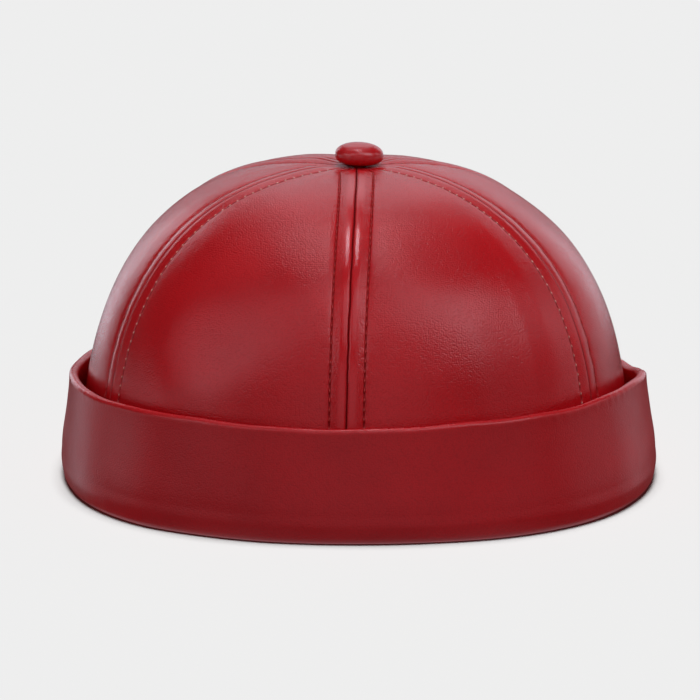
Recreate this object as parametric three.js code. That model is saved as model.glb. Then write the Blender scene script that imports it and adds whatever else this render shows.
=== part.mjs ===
// A brimless leather cap: six sewn crown panels, a turned-up cuff and a covered top button.
// Millimetres, +Z up, the front faces -Y. Azimuth 0 is the front and 90 is the wearer's left, +X.
// The cap stands on its cuff's fold at Z 0, and its bounding box is centred on the Z axis.

import * as THREE from 'three';

// Crown, outside sizes
const CROWN_HALF_WIDTH = 89.4;
const CROWN_LENGTH_RATIO = 1.08;
const CROWN_HEIGHT = 102;
const CROWN_FOOT = 3.2;
const APEX_SHIFT = 0.5;
const PLAN_POWER = 2.32;
const PLAN_POWER_RISE = 0.12;
const SPREAD_POWER = 2.37;
const SPREAD_POWER_SIDE = -0.22;
const RISE_POWER = 2.7;
const RISE_POWER_SIDE = 0.16;

// The six seams: their azimuth at the foot, and the one that they run up to at the top.
const SEAMS = [
  { name: 'front_left', foot: -57, top: -60 },
  { name: 'front', foot: -1.8, top: 0 },
  { name: 'front_right', foot: 52.5, top: 60 },
  { name: 'back_right', foot: 119, top: 120 },
  { name: 'back', foot: 180, top: 180 },
  { name: 'back_left', foot: 238, top: 240 },
];
const PANELS = ['front_left', 'front_right', 'right', 'back_right', 'back_left', 'left'];
const SEAM_GAP = 0.3;

// Across half a panel: 0 is its seam edge, 1 its line of stitches and 2 its middle.
// outer and inner are the two faces' heights over the crown's smooth surface.
const PANEL_COLUMNS = [
  { across: 0.0, outer: -1.1, inner: -2.3 },
  { across: 0.16, outer: -0.1, inner: -2.3 },
  { across: 0.55, outer: 0.3, inner: -2.3 },
  { across: 1.0, outer: -0.25, inner: -2.3 },
  { across: 1.12, outer: 0.25, inner: -1.5 },
  { across: 1.38, outer: 0.6, inner: -0.9 },
  { across: 1.7, outer: 0.6, inner: -0.9 },
  { across: 2.0, outer: 0.5, inner: -1.0 },
];
const STITCH_DISTANCE = 5.5;
const STITCH_SHARE = 0.34;
const PANEL_ROWS = 18;
const ROW_SPREAD = 1.35;

// Soft ridges and hollows in the panels. A positive rise stands out.
const DENTS = [
  { azimuth: 41, height: 58, halfAngle: 7, halfHeight: 34, rise: 0.8 },
  { azimuth: 31, height: 52, halfAngle: 8, halfHeight: 26, rise: -0.7 },
  { azimuth: -30, height: 62, halfAngle: 15, halfHeight: 16, rise: -0.7 },
  { azimuth: -32, height: 42, halfAngle: 16, halfHeight: 12, rise: 0.5 },
  { azimuth: 22, height: 84, halfAngle: 16, halfHeight: 12, rise: -0.5 },
  { azimuth: 235, height: 95, halfAngle: 45, halfHeight: 14, rise: 0.6 },
  { azimuth: 112, height: 95, halfAngle: 24, halfHeight: 10, rise: 0.6 },
];

// The button pulls the leather down round its post.
const APEX_HOLE = 3;
const DIMPLE_DEPTH = 0.9;
const DIMPLE_INNER = 6;
const DIMPLE_OUTER = 16;

// Button: a domed head with a flatter underside, a post through the crown and a plate inside it.
const BUTTON_RADIUS = 7.9;
const BUTTON_RISE = 3.85;
const BUTTON_DROP = 3.4;
const BUTTON_CENTRE = 104.8;
const BUTTON_SHIFT = 0.8;
const DOME_POWER = 2.15;
const UNDERSIDE_POWER = 3;
const POST_RADIUS = 1.8;
const PLATE_RADIUS = 7.2;
const PLATE_THICKNESS = 1.4;
const BUTTON_SIDES = 24;

// Cuff, in section: reach is measured outwards from the crown's plan at its foot.
const CUFF_WALL = 3;
const CUFF_FLARE = 1.5;
const CUFF_STEPS = 66;
const WALL_SHARES = [0.12, 0.3, 0.52, 0.76];
const FOLD_HEIGHT = 4.6;
const HEM_TOP = 10;
const HEM_WALL = 1.8;
const HEM_REACH = -2.65;
const TROUGH_HEIGHT = CROWN_FOOT - 0.3;
const TROUGH_REACH = 1.1;

// The cuff's rim and foot wander a little round the cap.
const CUFF_STATIONS = [
  { azimuth: -160, rimHeight: 31.5, rimReach: 5.6, footReach: 9.0 },
  { azimuth: -130, rimHeight: 31.8, rimReach: 5.4, footReach: 8.6 },
  { azimuth: -105, rimHeight: 32.2, rimReach: 5.0, footReach: 8.6 },
  { azimuth: -88, rimHeight: 34.4, rimReach: 4.9, footReach: 8.5 },
  { azimuth: -70, rimHeight: 36.2, rimReach: 5.1, footReach: 8.6 },
  { azimuth: -55, rimHeight: 36.5, rimReach: 5.5, footReach: 8.6 },
  { azimuth: -40, rimHeight: 37.3, rimReach: 5.6, footReach: 8.8 },
  { azimuth: -28, rimHeight: 37.1, rimReach: 5.5, footReach: 7.6 },
  { azimuth: -14, rimHeight: 36.5, rimReach: 5.6, footReach: 8.8 },
  { azimuth: 0, rimHeight: 36.2, rimReach: 5.7, footReach: 9.3 },
  { azimuth: 14, rimHeight: 36.9, rimReach: 5.7, footReach: 9.0 },
  { azimuth: 28, rimHeight: 37.6, rimReach: 5.8, footReach: 9.4 },
  { azimuth: 45, rimHeight: 37.6, rimReach: 5.9, footReach: 10.0 },
  { azimuth: 62, rimHeight: 38.0, rimReach: 6.0, footReach: 10.1 },
  { azimuth: 78, rimHeight: 36.0, rimReach: 6.5, footReach: 10.4 },
  { azimuth: 92, rimHeight: 32.0, rimReach: 6.7, footReach: 10.6 },
  { azimuth: 107, rimHeight: 28.7, rimReach: 6.3, footReach: 10.2 },
  { azimuth: 130, rimHeight: 29.4, rimReach: 5.8, footReach: 9.6 },
  { azimuth: 165, rimHeight: 31.0, rimReach: 5.6, footReach: 9.2 },
];

const leather = new THREE.MeshStandardMaterial({ color: 0x8f1a22, roughness: 0.42, metalness: 0 });

const radians = THREE.MathUtils.degToRad;
const { smoothstep, lerp } = THREE.MathUtils;

// The squarish oval seen from above, as a share of the half width, at an azimuth in radians.
function planShare(azimuth, power) {
  const side = Math.abs(Math.sin(azimuth)) ** power;
  const front = Math.abs(Math.cos(azimuth) / CROWN_LENGTH_RATIO) ** power;
  return (side + front) ** (-1 / power);
}

function polar(azimuth, radius, height) {
  return new THREE.Vector3(radius * Math.sin(azimuth), -radius * Math.cos(azimuth), height);
}

// The crown's smooth surface. climb runs from 0 on the floor to a quarter turn at the top.
function crownSurface(azimuth, climb) {
  const side = Math.sin(azimuth) * Math.sin(2 * climb);
  const spread = SPREAD_POWER + SPREAD_POWER_SIDE * side;
  const rise = RISE_POWER + RISE_POWER_SIDE * side;
  const power = PLAN_POWER + PLAN_POWER_RISE * Math.sin(climb);
  const radius = CROWN_HALF_WIDTH * Math.cos(climb) ** (2 / spread) * planShare(azimuth, power);
  const share = Math.sin(climb) ** (2 / rise);
  const dimple = DIMPLE_DEPTH * (1 - smoothstep(radius, DIMPLE_INNER, DIMPLE_OUTER));
  const point = polar(azimuth, radius, CROWN_HEIGHT * share - dimple);
  point.x += APEX_SHIFT * share ** 3;
  return point;
}

function crownNormal(azimuth, climb) {
  const step = 1e-4;
  const across = crownSurface(azimuth + step, climb).sub(crownSurface(azimuth - step, climb));
  const up = crownSurface(azimuth, climb + step).sub(crownSurface(azimuth, climb - step));
  return across.cross(up).normalize();
}

// A smooth bump that is 1 at its centre and 0 at its edge.
function bump(distance, halfWidth) {
  const share = Math.min(Math.abs(distance) / halfWidth, 1);
  return Math.cos(share * Math.PI / 2) ** 2;
}

function dentRise(azimuth, height) {
  const degrees = THREE.MathUtils.radToDeg(azimuth);
  let rise = 0;
  for (const dent of DENTS) {
    const around = bump(degrees - dent.azimuth, dent.halfAngle);
    rise += dent.rise * around * bump(height - dent.height, dent.halfHeight);
  }
  return rise;
}

// Climbs for a panel's rows, from the foot to the hole for the post, closer together at the top.
function rowClimbs() {
  const samples = 2000;
  const track = [];
  let length = 0;
  let last = null;
  for (let i = 0; i <= samples; i += 1) {
    const climb = (i / samples) * Math.PI / 2;
    const point = crownSurface(0, climb);
    if (last) length += point.distanceTo(last);
    last = point;
    if (point.z >= CROWN_FOOT && Math.hypot(point.x, point.y) >= APEX_HOLE) track.push({ climb, length });
  }
  const first = track[0];
  const top = track[track.length - 1];
  const climbs = [];
  for (let row = 0; row <= PANEL_ROWS; row += 1) {
    const fromTop = (1 - row / PANEL_ROWS) ** ROW_SPREAD;
    const target = lerp(top.length, first.length, fromTop);
    climbs.push(track.find((entry) => entry.length >= target).climb);
  }
  return climbs;
}

function seamAzimuth(seam, climb) {
  return radians(lerp(seam.top, seam.foot, Math.cos(climb)));
}

// One loop round a panel at a row: along the outer face, and back along the inner one.
function panelLoop(from, to, climb) {
  const start = seamAzimuth(from, climb);
  const end = seamAzimuth(to, climb);
  const middle = (start + end) / 2;
  const radius = Math.hypot(...crownSurface(middle, climb).toArray().slice(0, 2));
  const half = (end - start) / 2;
  const gap = SEAM_GAP / 2 / radius;
  const strip = Math.min(STITCH_DISTANCE / radius, STITCH_SHARE * 2 * half);
  const relief = smoothstep(radius, APEX_HOLE, DIMPLE_OUTER);
  const inset = ({ across }) => gap + (across <= 1
    ? across * (strip - gap)
    : strip - gap + (across - 1) * (half - strip));
  const stops = PANEL_COLUMNS.map((column) => ({ ...column, azimuth: start + inset(column) }));
  const mirrored = PANEL_COLUMNS.slice(0, -1).reverse();
  stops.push(...mirrored.map((column) => ({ ...column, azimuth: end - inset(column) })));
  const face = (stop, offset) => {
    const point = crownSurface(stop.azimuth, climb);
    return point.addScaledVector(crownNormal(stop.azimuth, climb), offset + dentRise(stop.azimuth, point.z));
  };
  const outer = stops.map((stop) => face(stop, stop.outer * relief));
  const inner = stops.map((stop) => face(stop, stop.inner));
  return [...outer, ...inner.reverse()];
}

// Skins a stack of equal loops. A ring's last loop meets its first; a panel gets an end strip at each end.
function loft(loops, isRing) {
  const count = loops[0].length;
  const positions = loops.flat().flatMap((point) => point.toArray());
  const indices = [];
  const quad = (a, b, c, d) => indices.push(a, b, c, a, c, d);
  const spans = isRing ? loops.length : loops.length - 1;
  for (let i = 0; i < spans; i += 1) {
    const here = i * count;
    const next = ((i + 1) % loops.length) * count;
    for (let j = 0; j < count; j += 1) {
      const k = (j + 1) % count;
      quad(here + j, here + k, next + k, next + j);
    }
  }
  if (!isRing) {
    const top = (loops.length - 1) * count;
    for (let j = 0; j < count / 2 - 1; j += 1) {
      const back = count - 1 - j;
      quad(j, back, back - 1, j + 1);
      quad(top + j, top + j + 1, top + back - 1, top + back);
    }
  }
  const geometry = new THREE.BufferGeometry();
  geometry.setAttribute('position', new THREE.Float32BufferAttribute(positions, 3));
  geometry.setIndex(indices);
  geometry.computeVertexNormals();
  return geometry;
}

// Runs a smooth closed curve through one column of the cuff's stations.
function stationValue(azimuth, column) {
  const count = CUFF_STATIONS.length;
  const at = (i) => {
    const turns = Math.floor(i / count);
    const station = CUFF_STATIONS[i - turns * count];
    return { azimuth: station.azimuth + 360 * turns, value: station[column] };
  };
  let i = -1;
  while (at(i + 1).azimuth <= azimuth) i += 1;
  const [before, low, high, after] = [at(i - 1), at(i), at(i + 1), at(i + 2)];
  const width = high.azimuth - low.azimuth;
  const share = (azimuth - low.azimuth) / width;
  const slopeLow = (high.value - before.value) / (high.azimuth - before.azimuth) * width;
  const slopeHigh = (after.value - low.value) / (after.azimuth - low.azimuth) * width;
  const rest = 1 - share;
  return low.value * (1 + 2 * share) * rest ** 2 + high.value * (3 - 2 * share) * share ** 2
    + slopeLow * share * rest ** 2 - slopeHigh * rest * share ** 2;
}

// The cuff's closed section at an azimuth in degrees, as [reach, height] pairs.
function cuffSection(azimuth) {
  const rimHeight = stationValue(azimuth, 'rimHeight');
  const rimReach = stationValue(azimuth, 'rimReach');
  const footReach = stationValue(azimuth, 'footReach');
  const lip = CUFF_WALL / 2;
  const wall = (share, inset) => [
    lerp(rimReach, footReach, (1 - share) ** CUFF_FLARE) - inset,
    lerp(FOLD_HEIGHT, rimHeight - lip, share),
  ];
  const fold = [
    [footReach - 0.1, FOLD_HEIGHT * 0.75],
    [footReach - 0.9, FOLD_HEIGHT * 0.3],
    [footReach - 2.1, FOLD_HEIGHT * 0.07],
    [footReach - 3.6, 0],
    [HEM_REACH + 1, 0],
    [HEM_REACH - 0.6, FOLD_HEIGHT * 0.12],
  ];
  const hem = [
    [HEM_REACH - HEM_WALL, FOLD_HEIGHT * 0.55],
    [HEM_REACH - HEM_WALL, HEM_TOP - HEM_WALL / 2],
    [HEM_REACH - HEM_WALL / 2, HEM_TOP],
    [HEM_REACH, HEM_TOP - HEM_WALL / 2],
    [HEM_REACH, TROUGH_HEIGHT],
  ];
  const trough = [
    [TROUGH_REACH, TROUGH_HEIGHT],
    [footReach - CUFF_WALL - 1.2, TROUGH_HEIGHT + 0.9],
  ];
  const innerWall = WALL_SHARES.map((share) => wall(share, CUFF_WALL));
  const rim = [
    wall(1, CUFF_WALL),
    [rimReach - CUFF_WALL + 0.4, rimHeight - 0.4],
    [rimReach - lip, rimHeight],
    [rimReach - 0.4, rimHeight - 0.4],
    wall(1, 0),
  ];
  const outerWall = WALL_SHARES.map((share) => wall(share, 0)).reverse();
  return [...fold, ...hem, ...trough, ...innerWall, ...rim, ...outerWall];
}

function cuffLoop(degrees) {
  const azimuth = radians(degrees);
  const plan = CROWN_HALF_WIDTH * planShare(azimuth, PLAN_POWER);
  return cuffSection(degrees).map(([reach, height]) => polar(azimuth, plan + reach, height));
}

// The button's half outline, from the plate's middle up to the top of the head.
function buttonProfile() {
  const crownInside = CROWN_HEIGHT - DIMPLE_DEPTH - BUTTON_CENTRE + PANEL_COLUMNS[0].inner;
  const plateTop = crownInside - SEAM_GAP;
  const plateBottom = plateTop - PLATE_THICKNESS;
  const profile = [
    new THREE.Vector2(0, plateBottom),
    new THREE.Vector2(PLATE_RADIUS - 0.5, plateBottom),
    new THREE.Vector2(PLATE_RADIUS, plateBottom + PLATE_THICKNESS / 2),
    new THREE.Vector2(PLATE_RADIUS - 0.5, plateTop),
    new THREE.Vector2(POST_RADIUS, plateTop),
  ];
  const postAngle = Math.asin((POST_RADIUS / BUTTON_RADIUS) ** (UNDERSIDE_POWER / 2));
  const steps = 16;
  for (let i = 0; i <= steps; i += 1) {
    const angle = lerp(postAngle, Math.PI, i / steps);
    const isUnder = angle < Math.PI / 2;
    const power = isUnder ? UNDERSIDE_POWER : DOME_POWER;
    const radius = i === steps ? 0 : BUTTON_RADIUS * Math.sin(angle) ** (2 / power);
    const share = Math.abs(Math.cos(angle)) ** (2 / power);
    profile.push(new THREE.Vector2(radius, isUnder ? -BUTTON_DROP * share : BUTTON_RISE * share));
  }
  return profile;
}

function named(name, geometry) {
  const mesh = new THREE.Mesh(geometry, leather.clone());
  mesh.name = name;
  return mesh;
}

function makeCrown() {
  const crown = new THREE.Group();
  const climbs = rowClimbs();
  PANELS.forEach((name, i) => {
    const from = SEAMS[i];
    const next = SEAMS[(i + 1) % SEAMS.length];
    const to = i + 1 < SEAMS.length ? next : { foot: next.foot + 360, top: next.top + 360 };
    const loops = climbs.map((climb) => panelLoop(from, to, climb));
    crown.add(named(`crown_panel_${name}`, loft(loops, false)));
  });
  return crown;
}

function makeCuff() {
  const loops = [];
  for (let i = 0; i < CUFF_STEPS; i += 1) loops.push(cuffLoop(-180 + (360 * i) / CUFF_STEPS));
  return named('cuff', loft(loops, true));
}

function makeButton() {
  const button = named('button', new THREE.LatheGeometry(buttonProfile(), BUTTON_SIDES));
  button.rotation.x = Math.PI / 2;
  button.position.set(APEX_SHIFT + BUTTON_SHIFT, 0, BUTTON_CENTRE);
  return button;
}

const cap = new THREE.Group();
cap.name = 'cap';
cap.add(makeCrown(), makeCuff(), makeButton());
const middle = new THREE.Box3().setFromObject(cap).getCenter(new THREE.Vector3());
cap.position.set(-middle.x, -middle.y, 0);

export default cap;
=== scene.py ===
"""A brimless red leather cap: six sewn crown panels, a turned-up cuff and a covered top button."""
import math

import bpy
import numpy as np
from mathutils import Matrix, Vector


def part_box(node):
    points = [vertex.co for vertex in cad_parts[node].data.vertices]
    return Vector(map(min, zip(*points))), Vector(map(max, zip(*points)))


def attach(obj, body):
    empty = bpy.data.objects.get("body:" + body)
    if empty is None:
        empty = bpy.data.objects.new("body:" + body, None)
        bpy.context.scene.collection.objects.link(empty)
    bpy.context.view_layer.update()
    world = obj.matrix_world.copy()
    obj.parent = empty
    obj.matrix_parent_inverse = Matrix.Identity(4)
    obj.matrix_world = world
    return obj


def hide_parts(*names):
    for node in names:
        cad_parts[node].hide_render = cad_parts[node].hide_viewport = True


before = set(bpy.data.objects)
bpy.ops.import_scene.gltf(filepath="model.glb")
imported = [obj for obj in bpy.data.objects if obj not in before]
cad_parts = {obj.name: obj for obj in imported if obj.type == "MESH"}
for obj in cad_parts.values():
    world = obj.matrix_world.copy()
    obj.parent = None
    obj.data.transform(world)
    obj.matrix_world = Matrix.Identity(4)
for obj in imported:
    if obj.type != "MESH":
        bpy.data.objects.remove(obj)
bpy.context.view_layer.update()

MM = 0.001

# Crown, outside sizes in millimetres
CROWN_HALF_WIDTH = 89.4
CROWN_LENGTH_RATIO = 1.08
CROWN_HEIGHT = 102
CROWN_FOOT = 3.2
APEX_SHIFT = 0.5
PLAN_POWER = 2.32
PLAN_POWER_RISE = 0.12
SPREAD_POWER = 2.37
SPREAD_POWER_SIDE = -0.22
RISE_POWER = 2.7
RISE_POWER_SIDE = 0.16
APEX_HOLE = 3
DIMPLE_DEPTH = 0.9
DIMPLE_INNER = 6
DIMPLE_OUTER = 16

# Seams: azimuth in degrees at the foot, and the one that each runs up to at the top
SEAMS = [
    ("front_left", -57, -60),
    ("front", -1.8, 0),
    ("front_right", 52.5, 60),
    ("back_right", 119, 120),
    ("back", 180, 180),
    ("back_left", 238, 240),
]
PANELS = ["front_left", "front_right", "right", "back_right", "back_left", "left"]
STITCH_DISTANCE = 5.5
STITCH_SHARE = 0.34
STITCH_PITCH = 3.0
SEAM_GAP = 0.03
SEAM_ALLOWANCE_EDGE = (6.4, 7.8)
SEAM_ALLOWANCE_STEP = 1.35
THREAD_RADIUS = 0.19
THREAD_SPAN = 0.41
THREAD_SLANT = 0.07

# How strongly a painted glint pales the middle of each stitch on each seam's two rows: towards the next
# panel, towards the one before
PAINTED_GLINT = {"front_left": (1, 0.1), "front": (0.3, 0.2), "front_right": (0.1, 1),
          "back_right": (0.3, 0.3), "back": (0.3, 0.3), "back_left": (0.3, 0.3)}

# Soft ridges and hollows: azimuth, height, half angle, half height, rise
DENTS = [
    (41, 58, 7, 34, 0.8),
    (31, 52, 8, 26, -0.7),
    (-30, 62, 15, 16, -0.7),
    (-32, 42, 16, 12, 0.5),
    (22, 84, 16, 12, -0.5),
    (235, 95, 45, 14, 0.6),
    (112, 95, 24, 10, 0.6),
]
CREASE_AZIMUTH = 39.8
SLACK_AZIMUTH = 34
SLACK_PITCH = 5.2

# Button
BUTTON_RADIUS = 7.9
BUTTON_RISE = 3.85
BUTTON_DROP = 3.4
BUTTON_CENTRE = 104.8
BUTTON_SHIFT = 0.8
BUTTON_LEAN = 0.033
DOME_POWER = 2.15
UNDERSIDE_POWER = 3
POST_RADIUS = 1.8
PLATE_RADIUS = 7.2
PLATE_THICKNESS = 1.4
BUTTON_GATHERS = 17
PANEL_BACK = -2.3

# Cuff, in section: reach is measured outwards from the crown's plan at its foot
CUFF_WALL = 3
CUFF_FLARE = 1.5
BELLY_HEIGHT = 9
BELLY_TUCK = 1.3
FOLD_HEIGHT = 2
FOLD_ROUND = 1.8
HEM_TOP = 10
HEM_WALL = 1.8
HEM_REACH = -2.65
HEM_ROUND = 3.5
TROUGH_HEIGHT = CROWN_FOOT - 0.3
TROUGH_REACH = 1.1

# Cuff stations: azimuth, rim height, rim reach, foot reach
CUFF_STATIONS = [
    (-160, 31.5, 5.6, 8.8),
    (-130, 31.6, 5.4, 8.4),
    (-105, 31.8, 5.0, 8.4),
    (-88, 34.2, 4.9, 8.3),
    (-70, 36.2, 5.1, 7.9),
    (-55, 36.5, 5.5, 8.2),
    (-40, 37.3, 5.6, 8.2),
    (-28, 37.1, 5.5, 7.1),
    (-14, 36.5, 5.6, 7.6),
    (0, 36.2, 5.7, 7.9),
    (14, 36.9, 5.7, 7.8),
    (28, 37.6, 5.8, 8.9),
    (45, 37.6, 5.9, 10.0),
    (62, 38.0, 6.0, 10.1),
    (78, 36.0, 6.5, 10.5),
    (92, 32.0, 6.7, 10.7),
    (107, 28.2, 6.3, 10.1),
    (130, 28.3, 5.8, 9.6),
    (165, 30.4, 5.6, 9.1),
]

# The cap's own axis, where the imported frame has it
button_low, button_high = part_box("button")
AXIS = np.array([
    (button_low.x + button_high.x) / 2 / MM - APEX_SHIFT - BUTTON_SHIFT,
    (button_low.y + button_high.y) / 2 / MM,
    0.0,
])


def smoothstep(value, low, high):
    share = np.clip((value - low) / (high - low), 0, 1)
    return share * share * (3 - 2 * share)


def bump(distance, half_width):
    return np.cos(np.clip(np.abs(distance) / half_width, 0, 1) * math.pi / 2) ** 2


def wander(place, seed, wavelength):
    """Smooth unevenness between about -1 and 1 along a line."""
    rng = np.random.default_rng(seed)
    waves = wavelength * rng.uniform(0.6, 1.7, 6)
    phases = rng.uniform(0, 2 * math.pi, 6)
    return sum(np.sin(2 * math.pi * place / w + p) for w, p in zip(waves, phases)) / 3


def ripple(across, along, seed, wavelength):
    """Smooth unevenness between about -1 and 1 over a surface."""
    rng = np.random.default_rng(seed)
    total = 0
    for _ in range(9):
        turn = rng.uniform(0, 2 * math.pi)
        wave = wavelength * rng.uniform(0.6, 1.7)
        phase = rng.uniform(0, 2 * math.pi)
        way = across * math.cos(turn) + along * math.sin(turn)
        total = total + np.sin(2 * math.pi * way / wave + phase)
    return total / 4


def plan_share(azimuth, power):
    side = np.abs(np.sin(azimuth)) ** power
    front = np.abs(np.cos(azimuth) / CROWN_LENGTH_RATIO) ** power
    return (side + front) ** (-1 / power)


def polar(azimuth, radius, height):
    return np.stack(np.broadcast_arrays(radius * np.sin(azimuth), -radius * np.cos(azimuth), height), -1)


def crown_surface(azimuth, climb):
    side = np.sin(azimuth) * np.sin(2 * climb)
    spread = SPREAD_POWER + SPREAD_POWER_SIDE * side
    rise = RISE_POWER + RISE_POWER_SIDE * side
    power = PLAN_POWER + PLAN_POWER_RISE * np.sin(climb)
    radius = CROWN_HALF_WIDTH * np.cos(climb) ** (2 / spread) * plan_share(azimuth, power)
    share = np.sin(climb) ** (2 / rise)
    dimple = DIMPLE_DEPTH * (1 - smoothstep(radius, DIMPLE_INNER, DIMPLE_OUTER))
    point = polar(azimuth, radius, CROWN_HEIGHT * share - dimple)
    point[..., 0] += APEX_SHIFT * share ** 3
    return point


def crown_normal(azimuth, climb):
    step = 1e-4
    across = crown_surface(azimuth + step, climb) - crown_surface(azimuth - step, climb)
    up = crown_surface(azimuth, climb + step) - crown_surface(azimuth, climb - step)
    normal = np.cross(across, up)
    return normal / np.linalg.norm(normal, axis=-1, keepdims=True)


def dent_rise(azimuth, height):
    degrees = np.degrees(azimuth)
    rise = 0
    for centre, level, half_angle, half_height, amount in DENTS:
        rise = rise + amount * bump(degrees - centre, half_angle) * bump(height - level, half_height)
    return rise


def crease_rise(azimuth, height):
    """A soft upright crease in the front right panel, and the slack ripples at its foot."""
    degrees = np.degrees(azimuth)
    crease = -0.45 * bump(degrees - CREASE_AZIMUTH, 3.4) * bump(height - 64, 32)
    place = bump(degrees - SLACK_AZIMUTH, 12) * bump(height - 40, 17)
    slack = 0.10 * np.sin(2 * math.pi * (degrees - 24) / SLACK_PITCH) * place
    return crease + slack


def climb_track():
    """Climbs from the crown's foot to its hole, with the length along the front to each."""
    climb = np.linspace(0, math.pi / 2, 4001)[1:-1]
    point = crown_surface(0.0, climb)
    keep = (point[:, 2] >= CROWN_FOOT) & (np.hypot(point[:, 0], point[:, 1]) >= APEX_HOLE)
    climb, point = climb[keep], point[keep]
    step = np.linalg.norm(np.diff(point, axis=0), axis=1)
    return climb, np.concatenate([[0], np.cumsum(step)])


TRACK_CLIMB, TRACK_LENGTH = climb_track()
PANEL_ROWS = 322
INNER_STEP = 3


def row_climbs(rows):
    return np.interp(np.linspace(0, TRACK_LENGTH[-1], rows), TRACK_LENGTH, TRACK_CLIMB)


def seam_azimuth(seam, climb, turns=0):
    _, foot, top = seam
    return np.radians(top + (foot - top) * np.cos(climb) + 360 * turns)


def middle_radius(start, end, climb):
    point = crown_surface((start + end) / 2, climb)
    return np.hypot(point[..., 0], point[..., 1])


def flange_profile(distance, relief):
    """Height over the smooth crown at a distance in millimetres from the seam."""
    roll = -1.1 * np.exp(-distance / 0.22)
    crest = 0.42 * np.exp(-(np.maximum(distance - 1.9, 0) / 2.0) ** 2)
    channel = -0.52 * np.exp(-((distance - STITCH_DISTANCE) / 0.26) ** 2)
    valley = -0.13 * np.exp(-((distance - STITCH_DISTANCE) / 1.1) ** 2)
    puff = 0.68 * (1 - np.exp(-np.maximum(distance - STITCH_DISTANCE, 0) / 8))
    return roll + (crest + channel + valley + puff) * relief


def stitch_pull(distance, along, seed, relief):
    """Puckers that the stitches draw in the leather beside their line."""
    off = distance - STITCH_DISTANCE
    pulled = -0.10 * (0.5 + 0.5 * np.cos(2 * math.pi * along / STITCH_PITCH)) * np.exp(-(off / 1.1) ** 2)
    outside = np.where(off > 0, np.exp(-(off / 4.5) ** 2), np.exp(-(off / 2.2) ** 2))
    loose = 0.055 * wander(along, seed, 6.5) * outside
    fine = 0.022 * wander(along + 1.3 * off, seed + 50, 2.4) * np.exp(-(off / 3.0) ** 2)
    return (pulled + loose + fine) * relief


def seam_wobble(along, seed):
    """How far the seam's groove strays sideways, in millimetres."""
    return 0.10 * wander(along, seed, 17) + 0.05 * wander(along, seed + 7, 5)


def panel_columns():
    """Distances across a panel: 0 to 1 in the seam strip and 1 to 2 from there to the middle."""
    strip = np.concatenate([np.linspace(0, 0.06, 4), np.linspace(0.09, 0.36, 8), np.linspace(0.42, 0.78, 6),
                            np.linspace(0.83, 1.0, 9)])
    body = 1 + np.concatenate([[0.002, 0.004, 0.007, 0.010, 0.015, 0.021, 0.03],
                               np.linspace(0.04, 0.15, 9), np.linspace(0.18, 1, 22)])
    return np.concatenate([strip, body])


def panel_grid(index, climb):
    """A panel's start and end azimuth, radius, half angle and seam strip's angle at each climb."""
    seam_a = SEAMS[index]
    seam_b = SEAMS[(index + 1) % len(SEAMS)]
    start = seam_azimuth(seam_a, climb)
    end = seam_azimuth(seam_b, climb, (index + 1) // len(SEAMS))
    radius = middle_radius(start, end, climb)
    half = (end - start) / 2
    strip = np.minimum(STITCH_DISTANCE / radius, STITCH_SHARE * 2 * half)
    return start, end, radius, half, strip


def panel_shape(index):
    """Outer and inner points of a panel, the columns that the inner takes, and distances from the seams."""
    climb = row_climbs(PANEL_ROWS)
    along = np.linspace(0, TRACK_LENGTH[-1], PANEL_ROWS)
    start, end, radius, half, strip = panel_grid(index, climb)
    columns = panel_columns()
    gap = SEAM_GAP / 2 / radius
    inset = np.where(columns[None, :] <= 1,
                     gap[:, None] + columns[None, :] * (strip - gap)[:, None],
                     strip[:, None] + (columns[None, :] - 1) * (half - strip)[:, None])
    distance = np.where(columns[None, :] <= 1,
                        columns[None, :] * STITCH_DISTANCE,
                        STITCH_DISTANCE + (inset - strip[:, None]) * radius[:, None])
    relief = smoothstep(radius, APEX_HOLE, DIMPLE_OUTER)[:, None]
    left, right = index, (index + 1) % len(SEAMS)
    sides = []
    for seam, way in ((left, 1), (right, -1)):
        stray = seam_wobble(along, 300 + seam)[:, None] * relief * np.exp(-distance / 2.6)
        shift = stray / radius[:, None]
        edge = start if way == 1 else end
        azimuth = edge[:, None] + way * inset + shift
        seed = 400 + 10 * seam + (0 if way == 1 else 5)
        lift = flange_profile(distance, relief) + stitch_pull(distance, along[:, None], seed, relief)
        sides.append((azimuth, lift, distance))
    near, far = sides
    azimuth = np.concatenate([near[0], far[0][:, -2::-1]], 1)
    lift = np.concatenate([near[1], far[1][:, -2::-1]], 1)
    distance = np.concatenate([near[2], far[2][:, -2::-1]], 1)
    row_climb = np.broadcast_to(climb[:, None], azimuth.shape)
    base = crown_surface(azimuth, row_climb)
    normal = crown_normal(azimuth, row_climb)
    away = smoothstep(distance, 4, 16)
    across_mm = (azimuth - ((start + end) / 2)[:, None]) * radius[:, None]
    soft = 0.10 * ripple(across_mm, along[:, None], 900 + index, 34) * away * relief
    lift = lift + soft + dent_rise(azimuth, base[..., 2]) + crease_rise(azimuth, base[..., 2]) * away
    outer = base + normal * lift[..., None]

    inner_take = np.arange(0, azimuth.shape[1], INNER_STEP)
    if inner_take[-1] != azimuth.shape[1] - 1:
        inner_take = np.append(inner_take, azimuth.shape[1] - 1)
    allowance = smoothstep(distance[:, inner_take], *SEAM_ALLOWANCE_EDGE)
    back = PANEL_BACK + SEAM_ALLOWANCE_STEP * allowance
    back = back + dent_rise(azimuth[:, inner_take], base[:, inner_take, 2])
    inner = base[:, inner_take] + normal[:, inner_take] * back[..., None]
    return outer, inner, inner_take, distance


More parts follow.
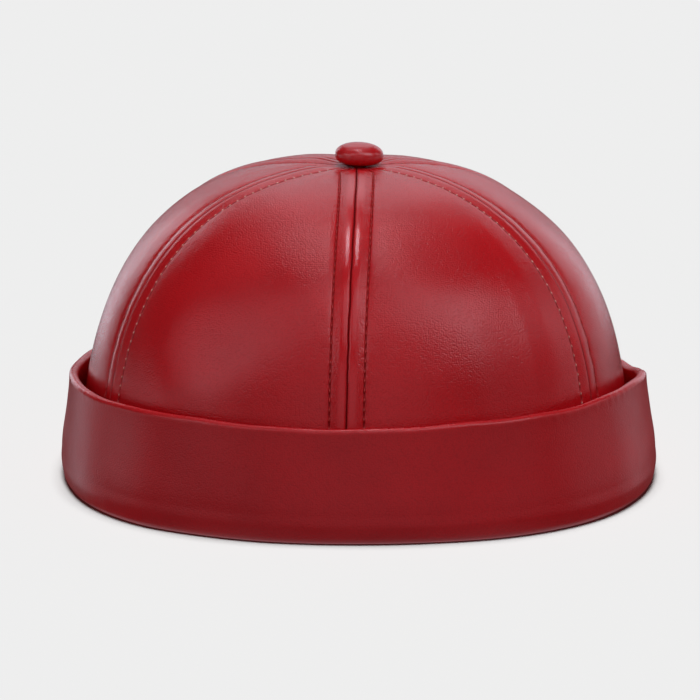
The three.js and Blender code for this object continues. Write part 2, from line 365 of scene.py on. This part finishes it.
def build_mesh(name, vertices, faces, materials, face_material=None):
    """A smooth-shaded object from points in millimetres."""
    mesh = bpy.data.meshes.new(name)
    mesh.from_pydata([tuple(v) for v in vertices * MM], [], faces)
    for material in materials:
        mesh.materials.append(material)
    if face_material is not None:
        mesh.polygons.foreach_set("material_index", np.asarray(face_material, np.int32))
    mesh.polygons.foreach_set("use_smooth", np.full(len(mesh.polygons), True))
    mesh.validate()
    mesh.update()
    piece = bpy.data.objects.new(name, mesh)
    bpy.context.scene.collection.objects.link(piece)
    return piece


def grid_faces(rows, columns, offset=0, flip=False, wrap_rows=False, wrap_columns=False):
    """Quads over a grid of points, closed into a ring where it wraps."""
    row_count = rows if wrap_rows else rows - 1
    column_count = columns if wrap_columns else columns - 1
    i = np.arange(row_count)[:, None]
    j = np.arange(column_count)[None, :]
    here = i * columns + j
    side = i * columns + (j + 1) % columns
    up = ((i + 1) % rows) * columns + j
    over = ((i + 1) % rows) * columns + (j + 1) % columns
    quads = np.stack([here, side, over, up], -1).reshape(-1, 4) + offset
    return (quads[:, ::-1] if flip else quads).tolist()


def paint_value(piece, name, values, count):
    """A value at each of a piece's first points, for its material."""
    painted = np.zeros(len(piece.data.vertices), np.float32)
    painted[:count] = np.asarray(values).reshape(-1)[:count]
    piece.data.attributes.new(name, "FLOAT", "POINT").data.foreach_set("value", painted)


def make_panel(index, leather, backing):
    """One gore: a painted highlight, most on the front seam's flanges, and painted shade in its groove and
    stitch channels.
    """
    outer, inner, take, distance = panel_shape(index)
    rows, columns = outer.shape[:2]
    inner_columns = inner.shape[1]
    shift = rows * columns
    vertices = np.concatenate([outer.reshape(-1, 3), inner.reshape(-1, 3)]) + AXIS
    faces = grid_faces(rows, columns)
    shown = len(faces)
    faces += grid_faces(rows, inner_columns, shift, flip=True)
    backed = len(faces) - shown
    inner_at = lambda i, j: shift + i * inner_columns + j
    edges = []
    for i in range(rows - 1):
        low, high = i * columns, (i + 1) * columns
        edges.append([low, high, inner_at(i + 1, 0), inner_at(i, 0)])
        low, high = low + columns - 1, high + columns - 1
        edges.append([low, inner_at(i, inner_columns - 1), inner_at(i + 1, inner_columns - 1), high])
    for j in range(inner_columns - 1):
        first, last = take[j], take[j + 1]
        foot = list(range(first, last + 1))
        edges.append([inner_at(0, j), inner_at(0, j + 1)] + foot[::-1])
        top = [(rows - 1) * columns + k for k in foot]
        edges.append([inner_at(rows - 1, j + 1), inner_at(rows - 1, j)] + top)
    faces += edges
    slots = [0] * shown + [1] * backed + [0] * len(edges)
    name = "leather_panel_" + PANELS[index]
    panel = build_mesh(name, vertices, faces, [leather, backing], slots)
    middle = distance.shape[1] // 2
    # Painted highlight on the flange crests, full beside the front seam and weaker on the others; the same
    # mask also makes them glossier
    highlight_share = [1 if SEAMS[side % len(SEAMS)][0] == "front" else 0.2 for side in (index, index + 1)]
    crest = np.exp(-((distance - 1.6) / 1.3) ** 4)
    crest[:, :middle] *= highlight_share[0]
    crest[:, middle:] *= highlight_share[1]
    # Painted shade: darker in each stitch channel, deepest at the stitch holes, and in the seam groove
    along = np.linspace(0, TRACK_LENGTH[-1], rows)[:, None]
    hole = 0.5 + 0.5 * np.cos(2 * math.pi * along / STITCH_PITCH)
    crease = (0.7 + 0.3 * hole) * np.exp(-((distance - STITCH_DISTANCE) / (0.24 + 0.10 * hole)) ** 2)
    crease = np.maximum(crease, np.exp(-(distance / 0.32) ** 2))
    paint_value(panel, "painted_highlight", crest, shift)
    paint_value(panel, "crease", crease, shift)
    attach(panel, "root")
    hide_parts("crown_panel_" + PANELS[index])
    return panel


def make_thread(index, thread, glint_thread):
    """Both rows of stitches of one seam, on the strips beside it."""
    name, _, _ = SEAMS[index]
    panels = ((index, 1), ((index - 1) % len(SEAMS), -1))
    vertices, faces, glints, slots = [], [], [], []
    rings, sides = 9, 6
    turn = np.linspace(0, 2 * math.pi, sides, endpoint=False)
    for panel, way in panels:
        count = int((TRACK_LENGTH[-1] - 7) / STITCH_PITCH)
        for k in range(count):
            middle = (k + 0.5) * STITCH_PITCH
            places = middle + np.linspace(-THREAD_SPAN, THREAD_SPAN, rings) * STITCH_PITCH
            climb = np.interp(np.clip(places, 0, TRACK_LENGTH[-1]), TRACK_LENGTH, TRACK_CLIMB)
            start, end, radius, _, strip = panel_grid(panel, climb)
            if radius.min() < 6.5:
                continue
            edge = start if way == 1 else end
            share = np.linspace(-1, 1, rings)
            azimuth = edge + way * strip + THREAD_SLANT * share / radius
            surface = crown_surface(azimuth, climb)
            normal = crown_normal(azimuth, climb)
            relief = smoothstep(radius, APEX_HOLE, DIMPLE_OUTER)
            height = (-0.10 - 1.00 * np.abs(share) ** 2.2) * relief + dent_rise(azimuth, surface[:, 2])
            centre = surface + normal * height[:, None]
            run = np.gradient(centre, axis=0)
            run /= np.linalg.norm(run, axis=1, keepdims=True)
            side = np.cross(run, normal)
            thick = THREAD_RADIUS * (1 - 0.35 * np.abs(share) ** 4)
            round_way = (np.cos(turn)[None, :, None] * side[:, None]
                         + np.sin(turn)[None, :, None] * normal[:, None])
            ring = centre[:, None] + thick[:, None, None] * round_way
            offset = sum(len(v) for v in vertices)
            vertices.append(ring.reshape(-1, 3))
            glint = PAINTED_GLINT[name][0 if way == 1 else 1]
            # Painted glint: a pale patch in the middle of each stitch
            glints.append(np.repeat(glint * np.exp(-(share / 0.24) ** 2), sides))
            faces += grid_faces(rings, sides, offset, wrap_columns=True)
            faces.append(list(range(offset, offset + sides))[::-1])
            last = offset + (rings - 1) * sides
            faces.append(list(range(last, last + sides)))
            # Rows with a full painted glint take the lighter, glossier copy of the thread
            slots += [1 if glint == 1 else 0] * (len(faces) - len(slots))
    piece = build_mesh("stitches_" + name, np.concatenate(vertices) + AXIS, faces,
                       [thread, glint_thread], slots)
    glints = np.concatenate(glints)
    paint_value(piece, "painted_highlight", glints, glints.size)
    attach(piece, "root")
    return piece


def station_values(azimuth, column):
    """A smooth closed curve through one column of the stations, at azimuths in degrees."""
    places = np.array([s[0] for s in CUFF_STATIONS], float)
    values = np.array([s[column] for s in CUFF_STATIONS], float)
    places = np.concatenate([places[-2:] - 360, places, places[:3] + 360])
    values = np.concatenate([values[-2:], values, values[:3]])
    slopes = np.zeros_like(values)
    slopes[1:-1] = (values[2:] - values[:-2]) / (places[2:] - places[:-2])
    i = np.clip(np.searchsorted(places, azimuth, side="right") - 1, 1, len(places) - 3)
    width = places[i + 1] - places[i]
    share = (azimuth - places[i]) / width
    rest = 1 - share
    return (values[i] * (1 + 2 * share) * rest ** 2 + values[i + 1] * (3 - 2 * share) * share ** 2
            + slopes[i] * width * share * rest ** 2 - slopes[i + 1] * width * rest * share ** 2)


def cuff_section(azimuth):
    """Closed section at azimuths in degrees: reach, height, and how much each point is outer wall."""
    rim_height = station_values(azimuth, 1)[:, None] + 0.22 * wander(azimuth, 31, 24)[:, None]
    rim_reach = station_values(azimuth, 2)[:, None]
    foot_reach = station_values(azimuth, 3)[:, None]
    lip = CUFF_WALL / 2
    arc = np.linspace(0, 1, 11)[None, :]
    one = np.ones((len(azimuth), 1))

    def side_reach(level):
        share = np.clip((level - BELLY_HEIGHT) / (rim_height - lip - BELLY_HEIGHT), 0, 1)
        tuck = BELLY_TUCK * np.clip(1 - level / BELLY_HEIGHT, 0, 1) ** 1.6
        return rim_reach + (foot_reach - rim_reach) * (1 - share) ** CUFF_FLARE - tuck

    def wall(level):
        width = np.clip(np.minimum(level - FOLD_HEIGHT, rim_height - lip - level), 0, 7)
        return sum(side_reach(level + offset * width) for offset in np.linspace(-1, 1, 9)) / 9

    parts = []
    share = np.linspace(1, 0, 56)[None, 1:-1]
    height = FOLD_HEIGHT + (rim_height - lip - FOLD_HEIGHT) * share
    parts.append((wall(height), height, np.ones(height.shape)))
    turn = arc * math.pi / 2 * one
    height = FOLD_HEIGHT * (1 - np.sin(turn))
    parts.append((side_reach(height) - FOLD_ROUND * (1 - np.cos(turn)), height, 1 - arc * one))
    share = np.linspace(0, 1, 6)[None, 1:-1]
    reach = (foot_reach - BELLY_TUCK - FOLD_ROUND) * (1 - share) + (HEM_REACH + 1) * share
    parts.append((reach, 0 * reach, 0 * reach))
    turn = np.linspace(0, math.pi / 2, 5)[None, :] * one
    round_reach = HEM_REACH - HEM_WALL
    parts.append((HEM_REACH + 1 - 2.8 * np.sin(turn), HEM_ROUND * (1 - np.cos(turn)), 0 * turn))
    height = np.linspace(HEM_ROUND + 2.5, HEM_TOP - HEM_WALL / 2, 5)[None, :] * one
    parts.append((round_reach + 0 * height, height, 0 * height))
    turn = np.linspace(math.pi, 0, 7)[None, 1:] * one
    reach = HEM_REACH - HEM_WALL / 2 + HEM_WALL / 2 * np.cos(turn)
    parts.append((reach, HEM_TOP - HEM_WALL / 2 + HEM_WALL / 2 * np.sin(turn), 0 * turn))
    height = np.linspace(HEM_TOP - 2, TROUGH_HEIGHT, 5)[None, :] * one
    parts.append((HEM_REACH + 0 * height, height, 0 * height))
    reach = np.array([[0.0, TROUGH_REACH]]) * one
    parts.append((reach, TROUGH_HEIGHT + 0 * reach, 0 * reach))
    reach = foot_reach - CUFF_WALL - np.array([[1.2, 0.55]])
    parts.append((reach, TROUGH_HEIGHT + np.array([[0.9, 2.2]]) * one, 0 * reach))
    share = np.linspace(0.22, 1, 15)[None, :-1]
    height = FOLD_HEIGHT + (rim_height - lip - FOLD_HEIGHT) * share
    parts.append((wall(height) - CUFF_WALL, height, 0 * height))
    turn = np.linspace(math.pi, 0, 15)[None, :] * one
    reach = rim_reach - lip + lip * np.cos(turn)
    parts.append((reach, rim_height - lip + lip * np.sin(turn), 0.5 + 0.5 * np.cos(turn)))
    full = [np.broadcast_arrays(*part, np.ones((len(azimuth), part[0].shape[1]))) for part in parts]
    return [np.concatenate([part[k] for part in full], 1) for k in range(3)]


CUFF_STEPS = 760
CUFF_MM_PER_DEGREE = 1.65


def make_cuff(leather):
    degrees = -180 + 360 * np.arange(CUFF_STEPS) / CUFF_STEPS
    azimuth = np.radians(degrees)
    reach, height, outer = cuff_section(degrees)
    plan = CROWN_HALF_WIDTH * plan_share(azimuth, PLAN_POWER)
    along = degrees[:, None] * CUFF_MM_PER_DEGREE
    rim = station_values(degrees, 1)[:, None]
    below = rim - height
    soft = 0.22 * ripple(along, height, 71, 46) * smoothstep(height, 3, 12) * outer
    pucker = 0.07 * wander(along + 0.3 * height, 83, 4.6) * np.exp(-(below / 2.6) ** 2) * outer
    pucker = pucker * (0.35 + 0.65 * smoothstep(wander(along, 19, 60), -0.1, 0.6))
    reach = reach + soft + pucker
    points = polar(azimuth[:, None], plan[:, None] + reach, height)
    rows, columns = points.shape[:2]
    faces = grid_faces(rows, columns, wrap_rows=True, wrap_columns=True)
    cuff = build_mesh("leather_cuff", points.reshape(-1, 3) + AXIS, faces, [leather])
    # Painted highlight: a lighter, glossier line along the rim's lip
    painted_highlight = np.exp(-(below / 0.6) ** 2) * 0.5
    paint_value(cuff, "painted_highlight", painted_highlight, painted_highlight.size)
    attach(cuff, "root")
    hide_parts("cuff")
    return cuff


def make_button(leather):
    sides = 96
    turn = np.linspace(0, 2 * math.pi, sides, endpoint=False)
    post_angle = math.asin((POST_RADIUS / BUTTON_RADIUS) ** (UNDERSIDE_POWER / 2))
    angles = np.concatenate([np.linspace(post_angle, 0.5, 8)[:-1], np.linspace(0.5, math.pi, 50)[:-1]])
    sine, cosine = np.sin(angles), np.cos(angles)
    power = np.where(angles < math.pi / 2, UNDERSIDE_POWER, DOME_POWER)
    height = np.where(angles < math.pi / 2, -BUTTON_DROP, BUTTON_RISE)
    radius = BUTTON_RADIUS * sine ** (2 / power)
    level = height * np.abs(cosine) ** (2 / power)
    gather = 0.10 * np.cos(BUTTON_GATHERS * turn + 1.5 * np.sin(3 * turn))
    gather = gather * bump(angles[:, None] - 1.0, 0.6)
    lump = 0.05 * ripple(radius[:, None] * np.cos(turn), radius[:, None] * np.sin(turn), 61, 11)
    head_radius = radius[:, None] + (gather + lump) * sine[:, None]
    head_level = level[:, None] + 0.5 * lump * np.maximum(-cosine, 0)[:, None]
    head_level = head_level - BUTTON_LEAN * head_radius * np.sin(turn)
    plate_top = CROWN_HEIGHT - DIMPLE_DEPTH - BUTTON_CENTRE + PANEL_BACK - 0.3
    plate = [
        (0.4, plate_top - PLATE_THICKNESS),
        (PLATE_RADIUS - 0.5, plate_top - PLATE_THICKNESS),
        (PLATE_RADIUS - 0.1, plate_top - PLATE_THICKNESS * 0.75),
        (PLATE_RADIUS, plate_top - PLATE_THICKNESS / 2),
        (PLATE_RADIUS - 0.1, plate_top - PLATE_THICKNESS * 0.25),
        (PLATE_RADIUS - 0.5, plate_top),
        (POST_RADIUS + 0.5, plate_top),
        (POST_RADIUS, plate_top + 0.4),
        (POST_RADIUS, -BUTTON_DROP - 0.1),
    ]
    low_radius = np.array([p[0] for p in plate])[:, None] * np.ones(sides)
    low_level = np.array([p[1] for p in plate])[:, None] * np.ones(sides)
    radius = np.concatenate([low_radius, head_radius])
    level = np.concatenate([low_level, head_level])
    centre = AXIS + np.array([APEX_SHIFT + BUTTON_SHIFT, 0, BUTTON_CENTRE])
    points = polar(turn[None, :], radius, level) + centre
    rows = len(points)
    faces = grid_faces(rows, sides, wrap_columns=True)
    vertices = points.reshape(-1, 3)
    caps = np.array([[0, 0, plate_top - PLATE_THICKNESS], [0, 0, BUTTON_RISE]]) + centre
    bottom, top = len(vertices), len(vertices) + 1
    for j in range(sides):
        k = (j + 1) % sides
        faces.append([j, bottom, k])
        faces.append([(rows - 1) * sides + j, (rows - 1) * sides + k, top])
    button = build_mesh("leather_button", np.concatenate([vertices, caps]), faces, [leather])
    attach(button, "root")
    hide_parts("button")
    return button


class Nodes:
    """Adds shader nodes to a material and links them."""

    def __init__(self, name):
        self.material = bpy.data.materials.new(name)
        self.material.use_nodes = True
        self.tree = self.material.node_tree
        self.tree.nodes.clear()

    def add(self, kind, settings=None, **inputs):
        node = self.tree.nodes.new(kind)
        for key, value in (settings or {}).items():
            setattr(node, key, value)
        for key, value in inputs.items():
            self.put(node, key.replace("_", " "), value)
        return node

    def put(self, node, key, value):
        socket = node.inputs[int(key)] if key.isdigit() else node.inputs[key]
        if isinstance(value, bpy.types.NodeSocket):
            self.tree.links.new(value, socket)
        else:
            socket.default_value = value


def shade(colour, factor):
    return tuple(c * factor for c in colour) + (1.0,)


def colour_mix(nodes, factor, first, second):
    node = nodes.add("ShaderNodeMix", {"data_type": "RGBA"})
    nodes.put(node, "0", factor)
    nodes.put(node, "6", first)
    nodes.put(node, "7", second)
    return node.outputs[2]


def value_math(nodes, operation, first, second):
    node = nodes.add("ShaderNodeMath", {"operation": operation})
    nodes.put(node, "0", first)
    nodes.put(node, "1", second)
    return node.outputs[0]


def spread(nodes, value, low, high, to_low, to_high):
    node = nodes.add("ShaderNodeMapRange", Value=value)
    for key, number in (("From Min", low), ("From Max", high), ("To Min", to_low), ("To Max", to_high)):
        nodes.put(node, key, number)
    return node.outputs[0]


def leather_material(name, colour, roughness, grain_depth, gloss=1.47):
    """Pebbled leather: glossier, with a lighter painted highlight colour, where its highlight mask is set,
    and painted shade darkening its creases.
    """
    nodes = Nodes(name)
    place = nodes.add("ShaderNodeTexCoord").outputs["Object"]
    warp = nodes.add("ShaderNodeTexNoise", Vector=place, Scale=420.0, Detail=2.0)
    shift = nodes.add("ShaderNodeVectorMath", {"operation": "SCALE"})
    nodes.put(shift, "0", warp.outputs["Color"])
    nodes.put(shift, "Scale", 0.0003)
    bent = nodes.add("ShaderNodeVectorMath", {"operation": "ADD"})
    nodes.put(bent, "0", place)
    nodes.put(bent, "1", shift.outputs[0])
    pebble = nodes.add("ShaderNodeTexVoronoi", Vector=bent.outputs[0], Scale=1750.0, Randomness=0.7)
    crumb = nodes.add("ShaderNodeTexNoise", Vector=place, Scale=2600.0, Detail=2.0)
    cloud = nodes.add("ShaderNodeTexNoise", Vector=place, Scale=26.0, Detail=3.0, Roughness=0.55)
    patch = nodes.add("ShaderNodeTexNoise", Vector=place, Scale=140.0, Detail=2.0)
    painted_highlight = nodes.add("ShaderNodeAttribute", {"attribute_name": "painted_highlight"}).outputs["Fac"]

    clouded = spread(nodes, cloud.outputs[0], 0.3, 0.7, 0.2, 0.8)
    base = colour_mix(nodes, clouded, shade(colour, 0.80), shade(colour, 1.12))
    spacing = pebble.outputs["Distance"]
    valley = spread(nodes, spacing, 0.35, 0.75, 0.0, 0.25)
    base = colour_mix(nodes, valley, base, shade(colour, 0.55))
    # Painted highlight: a lighter, pinker colour where the highlight mask is set
    highlight_colour = (colour[0] * 1.25, colour[1] * 1.9, colour[2] * 1.8, 1.0)
    base = colour_mix(nodes, value_math(nodes, "MULTIPLY", painted_highlight, 0.25), base, highlight_colour)
    # Painted shade: darker in the stitch channels and the seam groove
    crease = nodes.add("ShaderNodeAttribute", {"attribute_name": "crease"}).outputs["Fac"]
    base = colour_mix(nodes, value_math(nodes, "MULTIPLY", crease, 0.5), base, shade(colour, 0.2))

    rough = spread(nodes, patch.outputs[0], 0.3, 0.7, roughness - 0.02, roughness + 0.02)
    rough = value_math(nodes, "SUBTRACT", rough, value_math(nodes, "MULTIPLY", painted_highlight, 0.08))
    rough = value_math(nodes, "ADD", rough, value_math(nodes, "MULTIPLY", crease, 0.4))

    rounded = value_math(nodes, "MULTIPLY", spacing, spacing)
    grain = value_math(nodes, "ADD", spread(nodes, rounded, 0.0, 0.8, 1.0, 0.0),
                       value_math(nodes, "MULTIPLY", crumb.outputs[0], 0.08))
    stretched = value_math(nodes, "SUBTRACT", 1.0, value_math(nodes, "MULTIPLY", painted_highlight, 0.7))
    grain = value_math(nodes, "MULTIPLY", grain, stretched)
    fine = nodes.add("ShaderNodeBump", Height=grain, Strength=1.0, Distance=grain_depth)
    soft = nodes.add("ShaderNodeBump", Height=patch.outputs[0], Strength=1.0, Distance=0.00006,
                     Normal=fine.outputs[0])
    shader = nodes.add("ShaderNodeBsdfPrincipled", Roughness=rough, IOR=gloss, Normal=soft.outputs[0])
    nodes.put(shader, "Base Color", base)
    nodes.add("ShaderNodeOutputMaterial", Surface=shader.outputs[0])
    return nodes.material


def thread_material(name, colour, glint, gloss):
    """Twisted thread, with a painted glint in a pale colour where its glint mask is set."""
    nodes = Nodes(name)
    place = nodes.add("ShaderNodeTexCoord").outputs["Object"]
    strand = nodes.add("ShaderNodeTexNoise", Vector=place, Scale=3500.0, Detail=2.0)
    painted_highlight = nodes.add("ShaderNodeAttribute", {"attribute_name": "painted_highlight"}).outputs["Fac"]
    base = colour_mix(nodes, strand.outputs[0], shade(colour, 0.7), shade(colour, 1.3))
    base = colour_mix(nodes, painted_highlight, base, glint + (1.0,))
    twist = nodes.add("ShaderNodeBump", Height=strand.outputs[0], Strength=0.8, Distance=0.00004)
    shader = nodes.add("ShaderNodeBsdfPrincipled", Roughness=0.24, IOR=gloss,
                       Normal=twist.outputs[0])
    nodes.put(shader, "Base Color", base)
    nodes.add("ShaderNodeOutputMaterial", Surface=shader.outputs[0])
    return nodes.material


def backing_material(name, colour):
    """The knitted back of the leather."""
    nodes = Nodes(name)
    place = nodes.add("ShaderNodeTexCoord").outputs["Object"]
    warp = nodes.add("ShaderNodeTexNoise", Vector=place, Scale=300.0, Detail=1.0)
    knit = nodes.add("ShaderNodeTexVoronoi", Vector=place, Scale=1100.0, Randomness=0.35)
    fuzz = nodes.add("ShaderNodeTexNoise", Vector=place, Scale=2200.0, Detail=3.0)
    height = value_math(nodes, "ADD", spread(nodes, knit.outputs["Distance"], 0.0, 0.7, 1.0, 0.0),
                        value_math(nodes, "MULTIPLY", fuzz.outputs[0], 0.5))
    dark = shade(colour, 0.6)
    base = colour_mix(nodes, spread(nodes, height, 0.2, 1.3, 0.0, 1.0), dark, shade(colour, 1.25))
    base = colour_mix(nodes, spread(nodes, warp.outputs[0], 0.3, 0.7, 0.0, 0.25), base, dark)
    relief = nodes.add("ShaderNodeBump", Height=height, Strength=1.0, Distance=0.00012)
    shader = nodes.add("ShaderNodeBsdfPrincipled", Roughness=0.92, Normal=relief.outputs[0])
    nodes.put(shader, "Base Color", base)
    nodes.put(shader, "Sheen Weight", 0.25)
    nodes.add("ShaderNodeOutputMaterial", Surface=shader.outputs[0])
    return nodes.material


CROWN_RED = (0.64, 0.0076, 0.0122)
# The cuff's red is a touch darker than the crown's: painted shade for the dimmer light on the cuff
CUFF_RED = (0.62, 0.0076, 0.0120)

crown_leather = leather_material("crown_leather_red", CROWN_RED, 0.21, 0.00007)
cuff_leather = leather_material("cuff_leather_red", CUFF_RED, 0.31, 0.00004)
button_leather = leather_material("button_leather_red", CROWN_RED, 0.25, 0.00002, 1.62)
red_thread = thread_material("thread_red", (0.58, 0.020, 0.018), (1.0, 0.24, 0.20), 1.5)
# A lighter, glossier copy of the thread for the rows with full painted glints
glint_thread = thread_material("thread_red_painted_glint", (0.66, 0.035, 0.028), (1.0, 0.56, 0.46), 1.8)
backing = backing_material("textile_backing", (0.11, 0.020, 0.022))

for number in range(len(PANELS)):
    make_panel(number, crown_leather, backing)
for number in range(len(SEAMS)):
    make_thread(number, red_thread, glint_thread)
make_cuff(cuff_leather)
make_button(button_leather)

# Floor
FLOOR_HALF = 12.0
FLOOR_LIGHT_ANGLE = 24
FLOOR_TONE = 0.855
FLOOR_ALBEDO = 0.35
floor_mesh = bpy.data.meshes.new("floor")
floor_mesh.from_pydata([(-FLOOR_HALF, -FLOOR_HALF, 0), (FLOOR_HALF, -FLOOR_HALF, 0),
                        (FLOOR_HALF, FLOOR_HALF, 0), (-FLOOR_HALF, FLOOR_HALF, 0)], [], [(0, 1, 2, 3)])
floor = bpy.data.objects.new("floor", floor_mesh)
bpy.context.scene.collection.objects.link(floor)
floor_nodes = Nodes("floor_pale")
floor_shader = floor_nodes.add("ShaderNodeBsdfPrincipled", Roughness=1.0)
floor_nodes.put(floor_shader, "Base Color", (FLOOR_ALBEDO,) * 3 + (1.0,))
floor_nodes.put(floor_shader, "Specular IOR Level", 0.0)
floor_nodes.add("ShaderNodeOutputMaterial", Surface=floor_shader.outputs[0])
floor_mesh.materials.append(floor_nodes.material)
floor.visible_diffuse = False
floor.visible_glossy = False
floor.visible_shadow = False

# Lights: name, azimuth and elevation in degrees, distance, width, height in metres, radiance
# and, where it lights only the gloss or only the matt share of a surface, which
LIGHTS = [
    ("ceiling", 0, 90, 1.4, 1, 0.7, 0.10),
    ("ceiling_lamp", 180, 82, 1.4, 0.07, 0.5, 14.0),
    ("ceiling_front", 18, 64, 1.4, 0.7, 0.35, 1.10),
    ("ceiling_back", 180, 66, 1.4, 1.2, 0.5, 0.20),
    ("ceiling_back_right", 152, 70, 1.4, 0.6, 0.5, 0.10),
    ("ceiling_back_left", -152, 70, 1.4, 0.6, 0.5, 0.60),
    ("back_high", 180, 42, 1.6, 0.8, 0.6, 1.10),
    ("back_low", 180, 16, 1.8, 0.8, 0.9, 0.62),
    ("back_left", -155, 8, 1.7, 0.5, 1.0, 1.50),
    ("back_left_high", -156, 48, 1.5, 0.6, 0.8, 0.09),
    ("back_right", 156, 10, 1.7, 0.6, 1.0, 0.95),
    ("far_right", 132, 0, 1.6, 0.5, 0.9, 0.55),
    ("right", 106, 24, 1.5, 0.5, 0.6, 1.10),
    ("right_low", 96, -4, 1.5, 0.9, 0.4, 0.45),
    ("left_low", -96, -4, 1.5, 0.9, 0.4, 0.75),
    ("left_floor", -134, -12, 1.5, 0.6, 0.35, 0.70),
    ("box_right", 59, 44, 1.4, 0.68, 0.55, 2.90),
    ("box_right_low", 62, 18, 1.4, 0.7, 0.4, 0.42),
    ("box_right_high", 40, 64, 1.4, 0.6, 0.3, 1.30),
    ("box_right_front", 28, 44, 1.4, 0.4, 0.5, 0.80),
    ("box_left", -60, 27, 1.4, 0.7, 0.5, 1.50),
    ("box_left_low", -58, 10, 1.4, 0.7, 0.3, 0.60),
    ("box_left_high", -34, 44, 1.4, 0.4, 0.5, 1.70),
    ("front_middle", 4, 48, 1.4, 0.26, 0.36, 1.30),
    ("front_low", 0, 18, 1.4, 1.2, 0.7, 0.48, "gloss"),
    ("front_floor", 0, -10, 1.4, 1.6, 0.4, 0.42, "gloss"),
    ("front_low_left", -50, -6, 1.4, 0.9, 0.3, 0.55),
    ("front_low_right", 50, -6, 1.4, 0.9, 0.3, 0.45),
    ("left_high", -90, 56, 1.4, 0.7, 0.5, 0.20),
    ("sky", 0, 82, 1.4, 1.4, 1.4, 0.42, "matt"),
    ("floor_glow", 0, -90, 0.8, 2, 2, 0.40),
]
LIGHT_TINT = (1.0, 0.96, 1.07)
AIM = np.array([0.0, 0.0, 0.05])
FILL = 0.045


def lit_only(light, member, state):
    """Keeps a light on one object, or off it."""
    group = bpy.data.collections.new(light.name + "_on")
    group.objects.link(member)
    group.collection_objects[0].light_linking.link_state = state
    light.light_linking.receiver_collection = group


def area_light(name, azimuth, elevation, distance, width, height, radiance, on="both"):
    data = bpy.data.lights.new(name, "AREA")
    data.shape = "RECTANGLE"
    data.size = width
    data.size_y = height
    data.energy = radiance * math.pi * width * height
    data.color = LIGHT_TINT
    light = bpy.data.objects.new(name, data)
    bpy.context.scene.collection.objects.link(light)
    a, e = math.radians(azimuth), math.radians(elevation)
    way = np.array([math.sin(a) * math.cos(e), -math.cos(a) * math.cos(e), math.sin(e)])
    light.location = AIM + way * distance
    light.rotation_euler = Vector(way).to_track_quat("Z", "Y").to_euler()
    light.visible_camera = False
    light.visible_diffuse = on != "gloss"
    light.visible_glossy = on != "matt"
    lit_only(light, floor, "EXCLUDE")
    return light


for row in LIGHTS:
    area_light(*row)

# The floor's own light
sun_data = bpy.data.lights.new("floor_light", "SUN")
sun_data.energy = (FLOOR_TONE - FLOOR_ALBEDO * FILL) * math.pi / FLOOR_ALBEDO
sun_data.angle = math.radians(FLOOR_LIGHT_ANGLE)
sun = bpy.data.objects.new("floor_light", sun_data)
bpy.context.scene.collection.objects.link(sun)
lit_only(sun, floor, "INCLUDE")

world = bpy.data.worlds.new("studio")
world.use_nodes = True
bpy.context.scene.world = world
tree = world.node_tree
tree.nodes.clear()
rays = tree.nodes.new("ShaderNodeLightPath")
seen = tree.nodes.new("ShaderNodeBackground")
seen.inputs["Color"].default_value = (FLOOR_TONE, FLOOR_TONE, FLOOR_TONE, 1)
fill = tree.nodes.new("ShaderNodeBackground")
fill.inputs["Color"].default_value = (FILL, FILL, FILL, 1)
choose = tree.nodes.new("ShaderNodeMixShader")
output = tree.nodes.new("ShaderNodeOutputWorld")
tree.links.new(rays.outputs["Is Camera Ray"], choose.inputs[0])
tree.links.new(fill.outputs[0], choose.inputs[1])
tree.links.new(seen.outputs[0], choose.inputs[2])
tree.links.new(choose.outputs[0], output.inputs[0])

scene = bpy.context.scene
scene.view_settings.view_transform = "Standard"

# Camera, at the angle and distance fitted to the photo
CAMERA_SIDE = -1.73 * MM
CAMERA_AWAY = 1.3
CAMERA_HEIGHT = 0.323
CAMERA_PITCH = 0.215
CAMERA_LENS = 206.6
camera_data = bpy.data.cameras.new("camera")
camera_data.lens = CAMERA_LENS
camera_data.sensor_width = 36
camera = bpy.data.objects.new("camera", camera_data)
bpy.context.scene.collection.objects.link(camera)
camera.location = (AXIS[0] * MM + CAMERA_SIDE, AXIS[1] * MM - CAMERA_AWAY, CAMERA_HEIGHT)
camera.rotation_euler = (math.pi / 2 - CAMERA_PITCH, 0, 0)
scene.camera = camera
